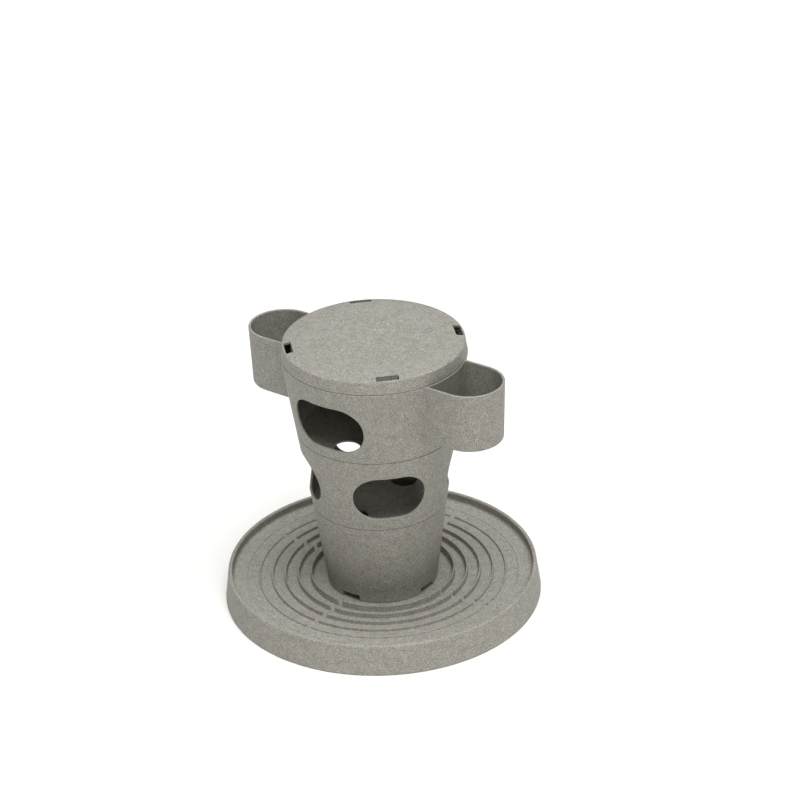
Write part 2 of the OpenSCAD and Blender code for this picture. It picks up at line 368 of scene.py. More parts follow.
@dataclass(frozen=True)
class FibreComposite:
    """Wood-fibre plastic, injection moulded: matt, with grains and short fibres that show at the surface."""

    name: str = "wood_fibre_composite_moulded"
    body: str = "b3b0a7"
    shade: str = "6e6b64"
    fleck_dark: str = "57524a"
    fleck_pale: str = "c8c4ba"
    roughness: float = 0.62
    ior: float = 1.49
    grain: float = mm(1.1)
    cloud: float = mm(7.0)
    fleck: float = mm(1.3)
    skin: float = mm(0.5)
    relief: float = mm(0.12)
    uneven: float = 0.08
    cloud_share: float = 0.16
    grain_span: tuple[float, float] = (0.42, 0.74)
    fleck_strength: float = 0.55

    def make(self) -> bpy.types.Material:
        """Makes the node material.

        Returns:
            The material.
        """
        material = bpy.data.materials.new(self.name)
        material.use_nodes = True
        tree = material.node_tree
        tree.nodes.clear()
        place = add_node(tree, "ShaderNodeTexCoord").outputs["Object"]
        # Clouds a few millimetres wide: the fibres don't spread evenly as the melt flows.
        cloud = add_node(tree, "ShaderNodeTexNoise",
                         {"Scale": 1 / self.cloud, "Detail": 3.0, "Roughness": 0.6}, {"Vector": place})
        # Fine grain, drawn as coarse as a millimetre so that it shows from across a yard.
        grain = add_node(tree, "ShaderNodeTexNoise",
                         {"Scale": 1 / self.grain, "Detail": 4.0, "Roughness": 0.7}, {"Vector": place})
        mixed = add_node(tree, "ShaderNodeMath", {"operation": "MULTIPLY_ADD", 1: self.cloud_share},
                         {0: cloud.outputs["Fac"], 2: grain.outputs["Fac"]})
        darkest, palest = self.grain_span
        spread = add_node(tree, "ShaderNodeMapRange", {"From Min": darkest, "From Max": palest},
                          {"Value": mixed.outputs[0]})
        base = add_node(tree, "ShaderNodeMix",
                        {"data_type": "RGBA", 6: linear(self.shade), 7: linear(self.body)},
                        {0: spread.outputs[0]})
        # Dark bark grains and pale fibres, each in some of the cells only.
        colour = base.outputs[2]
        for tint, size, low, high in ((self.fleck_dark, self.fleck, 0.12, 0.27),
                                      (self.fleck_pale, self.fleck * 0.8, 0.10, 0.24)):
            warp = add_node(tree, "ShaderNodeTexNoise", {"Scale": 1 / (size * 1.7), "Detail": 1.0},
                            {"Vector": place})
            nudge = add_node(tree, "ShaderNodeVectorMath", {"operation": "SCALE", "Scale": size * 1.6},
                             {0: warp.outputs["Color"]})
            moved = add_node(tree, "ShaderNodeVectorMath", {"operation": "ADD"},
                             {0: place, 1: nudge.outputs[0]})
            cells = add_node(tree, "ShaderNodeTexVoronoi", {"Scale": 1 / (size * 2.1), "Randomness": 1.0},
                             {"Vector": moved.outputs[0]})
            spot = add_node(tree, "ShaderNodeMapRange", {"From Min": high, "From Max": low},
                            {"Value": cells.outputs["Distance"]})
            pick = add_node(tree, "ShaderNodeSeparateColor", {}, {0: cells.outputs["Color"]})
            some = add_node(tree, "ShaderNodeMapRange",
                            {"From Min": 0.45, "From Max": 0.95, "To Max": self.fleck_strength},
                            {"Value": pick.outputs[0]})
            amount = add_node(tree, "ShaderNodeMath", {"operation": "MULTIPLY"},
                              {0: spot.outputs[0], 1: some.outputs[0]})
            layer = add_node(tree, "ShaderNodeMix", {"data_type": "RGBA", 7: linear(tint)},
                             {0: amount.outputs[0], 6: colour})
            colour = layer.outputs[2]
        # A moulded skin that is a little uneven where grains lie just under it.
        rough = add_node(tree, "ShaderNodeMapRange",
                         {"To Min": self.roughness - self.uneven, "To Max": self.roughness + self.uneven},
                         {"Value": grain.outputs["Fac"]})
        skin = add_node(tree, "ShaderNodeTexNoise", {"Scale": 1 / self.skin, "Detail": 2.0},
                        {"Vector": place})
        relief = add_node(tree, "ShaderNodeMath", {"operation": "MULTIPLY_ADD", 1: 0.5},
                          {0: skin.outputs["Fac"], 2: grain.outputs["Fac"]})
        bump = add_node(tree, "ShaderNodeBump", {"Strength": 0.25, "Distance": self.relief},
                        {"Height": relief.outputs[0]})
        shader = add_node(tree, "ShaderNodeBsdfPrincipled", {"IOR": self.ior, "Specular IOR Level": 0.4},
                          {"Base Color": colour, "Roughness": rough.outputs[0], "Normal": bump.outputs[0]})
        add_node(tree, "ShaderNodeOutputMaterial", {}, {"Surface": shader.outputs[0]})
        return material


# ---------------------------------------------------------------------------------------------
# The mouldings
# ---------------------------------------------------------------------------------------------
@dataclass(frozen=True)
class Bayonet:
    """Four outward lugs on a spigot that turn in under four inward keepers in a mouth."""

    reach: float = mm(4.0)
    drop: float = mm(4.2)
    keeper: float = mm(2.5)
    lug: float = mm(3.5)
    gap: float = mm(0.4)
    half: float = 8.0
    twist: float = 22.0
    stop_clear: float = 0.6
    stop_span: float = 2.8
    stop_set: float = mm(0.5)
    root: float = mm(1.0)
    edge: float = mm(0.5)

    @property
    def lug_top(self) -> float:
        """Depth of a lug's top below the mouth."""
        return self.drop + self.keeper + self.gap

    @property
    def lug_low(self) -> float:
        """Depth of a lug's underside below the mouth."""
        return self.lug_top + self.lug

    @property
    def keeper_half(self) -> float:
        """Half of the angle that one keeper covers."""
        return self.half + 1.0

    def stops(self, angle: float) -> list[float]:
        """Middles of the two stops that a lug turns between, if it is locked at an angle."""
        away = self.half + self.stop_clear + self.stop_span / 2
        return [angle - away, angle + self.twist + away]

    def block(self, shell: Shell, r: Point2, z: Point2, middle: float, half: float) -> None:
        """Adds one bent block.

        Args:
            shell: the shell that it is added to.
            r: its inner and outer radius.
            z: its lowest and highest point.
            middle: the angle of its middle.
            half: the angle from its middle to either end.
        """
        corners = [(r[0], z[0], self.edge), (r[1], z[0], self.edge),
                   (r[1], z[1], self.edge), (r[0], z[1], self.edge)]
        bent_block(shell, corners, middle - half, middle + half, sum(r) / 2)

    def add_keepers(self, shell: Shell, top: float, mouth: float, angles: Sequence[float]) -> None:
        """Adds the keepers and their end stops inside a mouth.

        Args:
            shell: the shell that they are added to.
            top: height of the mouth's rim.
            mouth: inner radius of the mouth.
            angles: where the lugs lie when locked.
        """
        inner, outer, high = mouth - self.reach, mouth + self.root, top - self.drop
        for a in angles:
            self.block(shell, (inner, outer), (high - self.keeper, high), a, self.keeper_half)
            for m in self.stops(a):
                self.block(shell, (inner + self.stop_set, outer),
                           (top - self.lug_low, high - self.stop_set), m, self.stop_span / 2)

    def add_lugs(self, shell: Shell, top: float, mouth: float, lean: float) -> None:
        """Adds the lugs of a spigot that hangs in a mouth.

        Args:
            shell: the shell that they are added to.
            top: height of the mouth's rim.
            mouth: inner radius of the mouth.
            lean: how far the mouth narrows for each unit of depth.
        """
        outer = mouth - lean * self.lug_low - self.gap
        for a in SIDES:
            self.block(shell, (mouth - self.reach - self.gap - self.root, outer),
                       (top - self.lug_low, top - self.lug_top), a, self.half)


@dataclass(frozen=True)
class Cone:
    """The wall of one cup: a cone from the seam below it to the seam above."""

    low_r: float
    low_z: float
    high_r: float
    high_z: float
    wall: float = mm(2.5)
    rim_band: float = mm(2.5)

    def outer(self, z: float | np.ndarray) -> float | np.ndarray:
        """Radius of the outer face at a height."""
        rise = self.high_z - self.low_z
        return self.low_r + (self.high_r - self.low_r) * (z - self.low_z) / rise

    def inner(self, z: float | np.ndarray) -> float | np.ndarray:
        """Radius of the inner face at a height."""
        return self.outer(z) - self.wall

    @property
    def lean(self) -> float:
        """How far the wall narrows for each unit of depth."""
        return (self.high_r - self.low_r) / (self.high_z - self.low_z)

    @property
    def rim_start(self) -> float:
        """Height at which the rim's rounded band starts."""
        return self.high_z - self.rim_band

    def rim(self, edge: float = mm(0.9)) -> np.ndarray:
        """Outline over the rim, from the outer face down to the inner one.

        Args:
            edge: rounding of the rim's two edges.

        Returns:
            Points (radius, height).
        """
        start, top = self.rim_start, self.high_z
        return rounded([(self.outer(start), start, 0), (self.outer(top), top, edge),
                        (self.inner(top), top, edge), (self.inner(start), start, 0)], Edge.OPEN)


LOWER_WALL = Cone(mm(51.7), mm(15.35), mm(63.2), mm(101))
MIDDLE_WALL = Cone(mm(63.2), mm(101.35), mm(74.6), mm(177.5))
UPPER_WALL = Cone(mm(74.6), mm(177.85), mm(85.8), mm(253.4))


@dataclass(frozen=True)
class WallQuarter:
    """A quarter of a cup's wall, with or without a window in its middle."""

    cone: Cone
    columns: int = 40
    rows: int = 24

    def border(self, radius: Callable[[np.ndarray], np.ndarray], low: float, high: float) -> np.ndarray:
        """Points round the quarter's edge, from its lower left corner anticlockwise.

        Args:
            radius: the face's radius at a height.
            low: height of the lower side.
            high: height of the upper side.

        Returns:
            Points (across, height).
        """
        a = np.radians(np.linspace(-45, 45, self.columns + 1))
        z = np.linspace(low, high, self.rows + 1)
        lower = np.stack([radius(low) * np.sin(a[:-1]), np.full(self.columns, low)], axis=1)
        right = np.stack([radius(z[:-1]) * math.sin(math.radians(45)), z[:-1]], axis=1)
        upper = np.stack([radius(high) * np.sin(a[:0:-1]), np.full(self.columns, high)], axis=1)
        left = np.stack([radius(z[:0:-1]) * -math.sin(math.radians(45)), z[:0:-1]], axis=1)
        return np.concatenate([lower, right, upper, left])

    def add(self, shell: Shell, angle: float, low: Point2, high: float, window: Opening | None,
            edge: float = mm(0.8)) -> None:
        """Adds the quarter's outer and inner face.

        Args:
            shell: the shell that it is added to.
            angle: direction of its middle.
            low: height at which the outer and the inner face start.
            high: height at which both end.
            window: the opening cut through it, if it has one.
            edge: rounding of the window's edges.
        """
        faces = (self.cone.outer, self.cone.inner)
        if window is None:
            for radius, start in zip(faces, low):
                z = np.linspace(start, high, self.rows + 1)
                outline = np.stack([radius(z), z], axis=1)
                shell.grid(turned(outline, np.linspace(angle - 45, angle + 45, self.columns + 1)))
            return
        spin = turning(angle)
        lifts = tuple(
            (lambda p, r=r: np.stack([np.sqrt(r(p[:, 1]) ** 2 - p[:, 0] ** 2), p[:, 0], p[:, 1]], axis=1))
            for r in faces)
        borders = tuple(self.border(r, start, high) for r, start in zip(faces, low))
        patch = HoledPatch(window, edge, (self.columns, self.rows, self.columns, self.rows))
        patch.add(shell, borders, lifts, np.array([-1.0, 0.0, 0.0]), lambda p: p @ spin)


def turning(angle: float) -> np.ndarray:
    """The matrix that turns row vectors round Z."""
    c, s = math.cos(math.radians(angle)), math.sin(math.radians(angle))
    return np.array([[c, s, 0], [-s, c, 0], [0, 0, 1]])


@dataclass
class Moulding:
    """What every moulding has: a piece name, the CAD node it stands for, its body and its finish."""

    node: str
    body: str
    material: bpy.types.Material
    slot: str = "fibre_composite"

    def shape(self, shell: Shell) -> None:
        """Adds the moulding's surfaces."""
        raise NotImplementedError

    def build(self) -> bpy.types.Object:
        """Makes the piece and puts it on its body.

        Returns:
            The finished object.
        """
        shell = Shell(self.node + "_moulding")
        self.shape(shell)
        piece = shell.build()
        smooth_by_area(piece)
        piece.data.materials.append(self.material)
        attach(piece, self.body)
        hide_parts(self.node)
        LOG.info("%s: %d faces", piece.name, len(piece.data.polygons))
        return piece


@dataclass
class Tray(Moulding):
    """The tray: a sloping floor with round ribs, a rolled rim, and the hub that the tower locks on."""

    foot_r: float = mm(150)
    rim_r: float = mm(146)
    height: float = mm(29)
    rim_t: float = mm(3.8)
    floor_t: float = mm(2.6)
    floor_in: Point2 = (mm(56.7), mm(15.0))
    floor_out: Point2 = (mm(142.2), mm(20.44))
    rib_count: int = 6
    rib_first: float = mm(67.7)
    rib_pitch: float = mm(12.3)
    rib_tops: Point2 = (mm(22.4), mm(20.2))
    rib_t: float = mm(1.5)
    rib_flare: float = mm(0.3)
    rib_root: float = mm(2.4)
    rib_rounds: Point2 = (mm(0.9), mm(0.55))
    channel: float = mm(6.0)
    hub_r: float = mm(46)
    hub_t: float = mm(2.6)
    hub_top: float = mm(27)
    hub_arc_half: float = 27.0
    cone_top_r: float = mm(8)
    support_r: float = mm(51)
    support_half_t: float = mm(1.2)
    skirt_t: float = mm(3)
    foot_edge: float = mm(0.7)
    stiffener_count: int = 8
    stiffener_t: float = mm(2)
    stiffener_clear: float = mm(4)
    bayonet: Bayonet = field(default_factory=lambda: Bayonet(reach=mm(3.2)))

    def floor_z(self, r: float) -> float:
        """Height of the sloping floor at a radius."""
        (r0, z0), (r1, z1) = self.floor_in, self.floor_out
        return z0 + (z1 - z0) * (r - r0) / (r1 - r0)

    def body_outline(self) -> np.ndarray:
        """Half section of the tray's body, from the middle of its top to the middle of its underside.

        Returns:
            Points (radius, height).
        """
        r0, z0 = self.floor_in
        r1, z1 = self.floor_out
        t, rim, under = self.floor_t, self.rim_t / 2, z0 - self.floor_t
        cone = self.hub_r - self.hub_t - mm(1)
        ring_out, ring_in = self.support_r + self.support_half_t, self.support_r - self.support_half_t
        return rounded([
            (0, self.hub_top, 0), (self.cone_top_r, self.hub_top, mm(3)), (cone, z0, mm(2)), (r0, z0, mm(12)),
            (r1 + mm(0.5), z1, mm(1.8)), (self.rim_r - self.rim_t, self.height, rim),
            (self.rim_r, self.height, rim), (self.foot_r, 0, self.foot_edge),
            (self.foot_r - self.skirt_t, 0, self.foot_edge), (r1 - mm(1), z1 - t, mm(2)), (r0, under, mm(3)),
            (ring_out, under, mm(0.8)), (ring_out, 0, mm(0.4)), (ring_in, 0, mm(0.4)),
            (ring_in, under, mm(0.8)), (cone - mm(1), under, mm(1)),
            (self.cone_top_r - mm(1), self.hub_top - t, mm(1)), (0, self.hub_top - t, 0)], Edge.OPEN, steps=6)

    def add_ribs(self, shell: Shell) -> None:
        """Adds the round ribs, each in four arcs between the feed channels.

        Args:
            shell: the shell that they are added to.
        """
        for i in range(self.rib_count):
            r = self.rib_first + self.rib_pitch * i
            top = self.rib_tops[0] + (self.rib_tops[1] - self.rib_tops[0]) * i / (self.rib_count - 1)
            foot, half = self.floor_z(r), self.rib_t / 2
            side = [(self.rib_root, foot - self.rib_flare, 0),
                    (half + self.rib_flare, foot, self.rib_rounds[0]), (half, top, self.rib_rounds[1])]
            corners = [(r - x, z, f) for x, z, f in side] + [(r + x, z, f) for x, z, f in reversed(side)]
            gap = math.degrees(math.asin(self.channel / 2 / r))
            for a in DIAGONALS:
                bent_block(shell, corners, a + gap, a + 90 - gap, r, round_end=mm(0.7))

    def add_hub(self, shell: Shell) -> None:
        """Adds the hub's four arcs, with the keepers that hold the tower's foot.

        Args:
            shell: the shell that they are added to.
        """
        b, floor, seat = self.bayonet, self.floor_in[1] - mm(1), self.floor_in[1] + mm(0.35)
        keeper = seat + b.lug + b.gap
        root, tip, high = self.hub_r - b.root, self.hub_r + b.reach, keeper + b.keeper
        for a in SIDES:
            b.block(shell, (self.hub_r - self.hub_t, self.hub_r), (floor, self.hub_top), a + b.twist / 2,
                    self.hub_arc_half)
            b.block(shell, (root, tip), (keeper, high), a, b.keeper_half)
            for m in b.stops(a):
                b.block(shell, (root, tip - b.stop_set), (floor, high - b.stop_set), m, b.stop_span / 2)

    def add_stiffeners(self, shell: Shell) -> None:
        """Adds the straight stiffening ribs under the floor, which run out where the skirt leans in.

        Args:
            shell: the shell that they are added to.
        """
        near, far = self.support_r, self.foot_r - mm(2.5)
        half, low = self.stiffener_t / 2, self.stiffener_clear
        for i in range(self.stiffener_count):
            rows = []
            for r in np.linspace(near, far, 24):
                top = self.floor_z(float(r)) - self.floor_t / 2
                top = min(top, self.height * (self.foot_r - mm(1) - float(r)) / mm(4) + low)
                section = rounded([(-half, top, 0), (-half, low, mm(0.6)),
                                   (half, low, mm(0.6)), (half, top, 0)], Edge.OPEN, support=0)
                rows.append(np.stack([np.full(len(section), r), section[:, 0], section[:, 1]], axis=1))
            shell.grid(np.array(rows) @ turning((i + 0.5) * 360 / self.stiffener_count), columns=Edge.CLOSED)

    def shape(self, shell: Shell) -> None:
        """Adds the tray's surfaces.

        Args:
            shell: the shell that they are added to.
        """
        shell.grid(turned(self.body_outline(), np.arange(0, 360, 2.0)), rows=Edge.CLOSED)
        self.add_ribs(shell)
        self.add_hub(shell)
        self.add_stiffeners(shell)


@dataclass
class LowerCup(Moulding):
    """The tower's foot: a plain cone with four feed outlets in its lower edge."""

    cone: Cone = LOWER_WALL
    outlet: Point2 = (mm(20), mm(6))
    outlet_round: float = mm(1.2)
    edge: float = mm(0.5)
    hub_r: float = mm(46)
    bayonet: Bayonet = field(default_factory=Bayonet)

    def foot_line(self, by: float) -> np.ndarray:
        """The lower edge of one quarter, outlet in the middle, moved up into the wall by a distance.

        Args:
            by: the distance.

        Returns:
            Points (length along the edge, height).
        """
        quarter = self.cone.low_r * math.pi / 4
        half, low = self.outlet[0] / 2 + by, self.cone.low_z + by
        top = self.cone.low_z + self.outlet[1] + by
        inside, outside = self.outlet_round + by, self.outlet_round - by
        line = rounded([(-quarter, low, 0), (-half, low, outside), (-half, top, inside), (half, top, inside),
                        (half, low, outside), (quarter, low, 0)], Edge.OPEN, support=0)
        parts, long_run, short_run = [line[:1]], mm(12), mm(2)
        for start, end in zip(line[:-1], line[1:]):
            run = np.linalg.norm(end - start)
            pieces = 14 if abs(end[0] - start[0]) > long_run else 3 if run > short_run else 1
            parts.append(start + (end - start) * (np.arange(1, pieces + 1) / pieces)[:, None])
        return np.concatenate(parts)

    def shape(self, shell: Shell) -> None:
        """Adds the cup's surfaces.

        Args:
            shell: the shell that they are added to.
        """
        turns = [math.radians(22.5 * k) for k in range(5)]
        lines = [self.foot_line(self.edge * (1 - math.sin(t))) for t in turns]
        depths = [self.edge * (1 - math.cos(t)) for t in turns]
        even, high, start = np.linspace(-45, 45, len(lines[0])), self.cone.rim_start, lines[0]
        for a in DIAGONALS:
            lip = []
            for radius, way in ((self.cone.outer, -1), (self.cone.inner, 1)):
                rows = []
                for line, depth in zip(lines, depths):
                    angles = a + np.degrees(line[:, 0] / self.cone.low_r)
                    rows.append(on_circles(radius(line[:, 1]) + way * depth, angles, line[:, 1]))
                lip += rows if way < 0 else rows[::-1]
                face = []
                for share in np.linspace(0, 1, 25) ** 1.3:
                    angles = a + np.degrees(start[:, 0] / self.cone.low_r) * (1 - share) + even * share
                    z = start[:, 1] + (high - start[:, 1]) * share
                    face.append(on_circles(radius(z), angles, z))
                shell.grid(np.array(face))
            shell.grid(np.array(lip))
            shell.grid(turned(self.cone.rim(), a + even))
        mouth = self.cone.inner(self.cone.high_z)
        self.bayonet.add_keepers(shell, self.cone.high_z, mouth, SIDES)
        b = self.bayonet
        for a in SIDES:
            b.block(shell, (self.hub_r + b.gap, self.cone.low_r - self.cone.wall + b.root),
                    (self.cone.low_z + b.stop_set, self.cone.low_z + b.lug), a, b.half)


@dataclass(frozen=True)
class FlatSector:
    """Part of a round plate between two radii and two angles, with an opening cut down through it."""

    radii: Point2
    half_angle: float
    columns: int
    rows: int

    def border(self, radii: Point2) -> np.ndarray:
        """Points round the part's edge, from its inner left corner anticlockwise.

        Args:
            radii: where the part starts and ends.

        Returns:
            Points (across, outwards).
        """
        a = np.radians(np.linspace(-self.half_angle, self.half_angle, self.columns + 1))
        r = np.linspace(radii[0], radii[1], self.rows + 1)
        edge = a[-1]
        inner = np.stack([radii[0] * np.sin(a[:-1]), radii[0] * np.cos(a[:-1])], axis=1)
        right = np.stack([r[:-1] * math.sin(edge), r[:-1] * math.cos(edge)], axis=1)
        outer = np.stack([radii[1] * np.sin(a[:0:-1]), radii[1] * np.cos(a[:0:-1])], axis=1)
        left = np.stack([-r[:0:-1] * math.sin(edge), r[:0:-1] * math.cos(edge)], axis=1)
        return np.concatenate([inner, right, outer, left])

    def add(self, shell: Shell, angle: float, hole: Opening, edge: float,
            top: Callable[[np.ndarray], np.ndarray], under: Callable[[np.ndarray], np.ndarray],
            under_radii: Point2 | None = None) -> None:
        """Adds the part's two faces and the opening's edge.

        Args:
            shell: the shell that they are added to.
            angle: direction of the part's middle.
            hole: the opening, with its centre's radius as its centre.
            edge: rounding of the opening's edges.
            top: height of the upper face at a radius.
            under: height of the lower face at a radius.
            under_radii: where the lower face starts and ends, if not as the upper one.
        """
        spin = turning(angle)
        lifts = tuple((lambda p, h=h: np.stack([p[:, 1], p[:, 0], h(np.hypot(p[:, 0], p[:, 1]))], axis=1))
                      for h in (top, under))
        borders = (self.border(self.radii), self.border(under_radii or self.radii))
        patch = HoledPatch(hole, edge, (self.columns, self.rows, self.columns, self.rows))
        patch.add(shell, borders, lifts, np.array([0.0, 0.0, -1.0]), lambda p: p @ spin)


@dataclass(frozen=True)
class CupFloor:
    """The floor of a stacking cup, with two round feed holes and the spigot that hangs under it."""

    hole_ring: float
    ring: Point2
    hole_d: float = mm(24.4)
    hole_edge: float = mm(0.6)
    thick: float = mm(2.4)
    drop: float = mm(1.2)
    mouth_gap: float = mm(1.0)
    corner: float = mm(2.5)
    spigot_t: float = mm(2.2)
    below_lugs: float = mm(1.0)
    rows: int = 16

    def add(self, shell: Shell, cone: Cone, seam: float, bayonet: Bayonet, low: Point2, columns: int) -> None:
        """Adds the floor, the spigot and the foot of the wall.

        Args:
            shell: the shell that they are added to.
            cone: the cup's wall.
            seam: height of the joint with the cup below.
            bayonet: what the spigot carries.
            low: height at which the wall's outer and inner face start.
            columns: how many faces go round a quarter.
        """
        mouth = cone.low_r - cone.wall
        edge, top = mouth - self.mouth_gap, seam - self.drop
        under, out = top - self.thick, mouth - bayonet.reach - bayonet.gap
        inside, end = out - self.spigot_t, seam - bayonet.lug_low - self.below_lugs
        near, far = self.ring
        angles = np.arange(0, 360, 90 / columns)
        below = rounded([(cone.outer(low[0]), low[0], 0), (cone.low_r, cone.low_z, mm(0.4)),
                         (edge, cone.low_z, mm(0.3)), (edge, under, mm(0.4)), (out, under, mm(0.6)),
                         (out, end, mm(0.5)), (inside, end, mm(0.5)), (inside, under, mm(0.5)),
                         (far, under, 0)], Edge.OPEN)
        above = rounded([(far, top, 0), (edge - self.corner, top, mm(1.5)),
                         (mouth, cone.low_z + cone.wall, mm(2)), (cone.inner(low[1]), low[1], 0)], Edge.OPEN)
        for outline in (below, above):
            shell.grid(turned(outline, angles), rows=Edge.CLOSED)
        part = FlatSector(self.ring, 45, columns, self.rows)
        hole = Opening(self.hole_d, self.hole_d, self.hole_d / 2, self.hole_ring)
        for a in WINDOW_DIAGONALS:
            part.add(shell, a, hole, self.hole_edge, lambda r: np.full_like(r, top),
                     lambda r: np.full_like(r, under))
        for level in (top, under):
            ring, disc = (np.stack([r, np.full_like(r, level)], axis=1)
                          for r in (np.linspace(near, far, self.rows + 1), np.linspace(0, near, 8)))
            for a in POCKET_DIAGONALS:
                shell.grid(turned(ring, np.linspace(a - 45, a + 45, columns + 1)))
            shell.grid(turned(disc, angles), rows=Edge.CLOSED)


@dataclass
class StackingCup(Moulding):
    """A cup whose spigot drops into the cup below, with windows in some of its four quarters."""

    cone: Cone = MIDDLE_WALL
    carrier: Cone = LOWER_WALL
    floor: CupFloor = CupFloor(mm(39.4), (mm(21), mm(53)))
    window: Opening = Opening(mm(66), mm(44.6), mm(21.5), mm(137))
    foot_bands: Point2 = (mm(1.5), mm(2.5))
    quarters: Sequence[float] = SIDES
    windows: Sequence[float] = SIDES
    keeper_angles: Sequence[float] = SIDES
    bayonet: Bayonet = field(default_factory=Bayonet)
    keeper_bayonet: Bayonet = field(default_factory=Bayonet)

    def shape(self, shell: Shell) -> None:
        """Adds the cup's surfaces.

        Args:
            shell: the shell that they are added to.
        """
        cone, seam = self.cone, self.carrier.high_z
        low = (cone.low_z + self.foot_bands[0], cone.low_z + cone.wall + self.foot_bands[1])
        quarter = WallQuarter(cone)
        for a in self.quarters:
            quarter.add(shell, a, low, cone.rim_start, self.window if a in self.windows else None)
        shell.grid(turned(cone.rim(), np.arange(0, 360, 90 / quarter.columns)), rows=Edge.CLOSED)
        self.floor.add(shell, cone, seam, self.bayonet, low, quarter.columns)
        self.bayonet.add_lugs(shell, seam, cone.low_r - cone.wall, self.carrier.lean)
        self.keeper_bayonet.add_keepers(shell, cone.high_z, cone.inner(cone.high_z), self.keeper_angles)


@dataclass(frozen=True)
class Pocket:
    """A half-round treat pocket that hangs on the side of the upper cup."""

    cone: Cone
    half_w: float = mm(32)
    reach: float = mm(137)
    depth: float = mm(57.2)
    draft: float = 1.8
    bottom: float = mm(2)
    wall: float = mm(2.5)
    edge: float = mm(0.9)
    crease: float = mm(1.1)
    bite: float = mm(0.8)

    def plan(self, z: float, inset: float, back: float) -> np.ndarray:
        """The pocket's outline at one height, from its joint with the tower on one side to the other.

        Args:
            z: the height.
            inset: how far the outline lies inside the outer face.
            back: +1 where the face looks outwards and -1 where it looks into the pocket.

        Returns:
            Points, an array of shape (n, 3), with the pocket pointing along +X.
        """
        half = self.half_w - (self.cone.high_z - z) * math.tan(math.radians(self.draft)) - inset
        centre, f, tower = self.reach - self.half_w, self.crease, self.cone.outer(z)
        cy = half + f * back
        cx = math.sqrt((tower + f) ** 2 - cy ** 2)
        touch = 180 + math.degrees(math.atan2(cy, cx))
        side = [np.array([cx, cy]) * (tower - self.bite) / (tower + f)]
        for a in np.linspace(touch, 180 + 90 * back, 6):
            side.append(np.array([cx + f * math.cos(math.radians(a)), cy + f * math.sin(math.radians(a))]))
        side += [np.array([x, half]) for x in np.linspace(cx, centre, 6)[1:]]
        side += [np.array([centre + half * math.cos(a), half * math.sin(a)])
                 for a in np.radians(np.linspace(90, 0, 19)[1:])]
        upper = np.array(side)
        lower = upper[-2::-1] * np.array([1, -1])
        flat = np.concatenate([upper, lower])
        return np.concatenate([flat, np.full((len(flat), 1), z)], axis=1)

    def across(self, ring: np.ndarray) -> np.ndarray:
        """Fills the inside of an outline with rows of points from one side to the other.

        Args:
            ring: the outline, from one end of it to the other.

        Returns:
            An array of shape (rows, points, 3).
        """
        half = len(ring) // 2
        shares = np.linspace(0, 1, 11)[:, None, None]
        return ring[None, :half + 1] * (1 - shares) + ring[None, ::-1][:, :half + 1] * shares

    def add(self, shell: Shell, angle: float) -> None:
        """Adds the pocket's surfaces.

        Args:
            shell: the shell that they are added to.
            angle: the direction that it points in.
        """
        top, low = self.cone.high_z, self.cone.high_z - self.depth
        steps = np.radians(np.linspace(0, 90, 7))
        rows = [self.plan(low + self.bottom * (1 - math.cos(t)), self.bottom * (1 - math.sin(t)), 1)
                for t in steps]
        rows += [self.plan(z, 0, 1) for z in np.linspace(low + self.bottom, top - self.edge, 14)[1:]]
        outer, inner = self.plan(top, 0, 1), self.plan(top, self.wall, -1)
        for near, far, turns in ((outer, inner, steps[1:]), (inner, outer, steps[::-1])):
            for t in turns:
                share = self.edge * (1 - math.cos(t)) / self.wall
                row = near * (1 - share) + far * share
                row[:, 2] = top - self.edge * (1 - math.sin(t))
                rows.append(row)
        inside, r = low + self.wall, self.bottom - self.wall / 2
        rows += [self.plan(z, self.wall, -1) for z in np.linspace(top - self.edge, inside + r, 14)[1:]]
        rows += [self.plan(inside + r * (1 - math.cos(t)), self.wall + r * (1 - math.sin(t)), -1)
                 for t in steps[-2::-1]]
        spin = turning(angle)
        shell.grid(np.array(rows) @ spin)
        shell.grid(self.across(rows[0]) @ spin)
        shell.grid(self.across(rows[-1]) @ spin)


@dataclass
class UpperCup(StackingCup):
    """The top cup: two windows, and a treat pocket on each of the two quarters between them."""

    cone: Cone = UPPER_WALL
    carrier: Cone = MIDDLE_WALL
    floor: CupFloor = CupFloor(mm(46.5), (mm(28), mm(62.5)))
    window: Opening = Opening(mm(74), mm(46.2), mm(21.5), mm(211.5))
    quarters: Sequence[float] = DIAGONALS
    windows: Sequence[float] = WINDOW_DIAGONALS
    keeper_angles: Sequence[float] = tuple(a - 22.0 for a in SIDES)
    keeper_bayonet: Bayonet = field(default_factory=lambda: Bayonet(reach=mm(7.4)))

    def shape(self, shell: Shell) -> None:
        """Adds the cup's surfaces.

        Args:
            shell: the shell that they are added to.
        """
        super().shape(shell)
        for a in POCKET_DIAGONALS:
            Pocket(self.cone).add(shell, a)


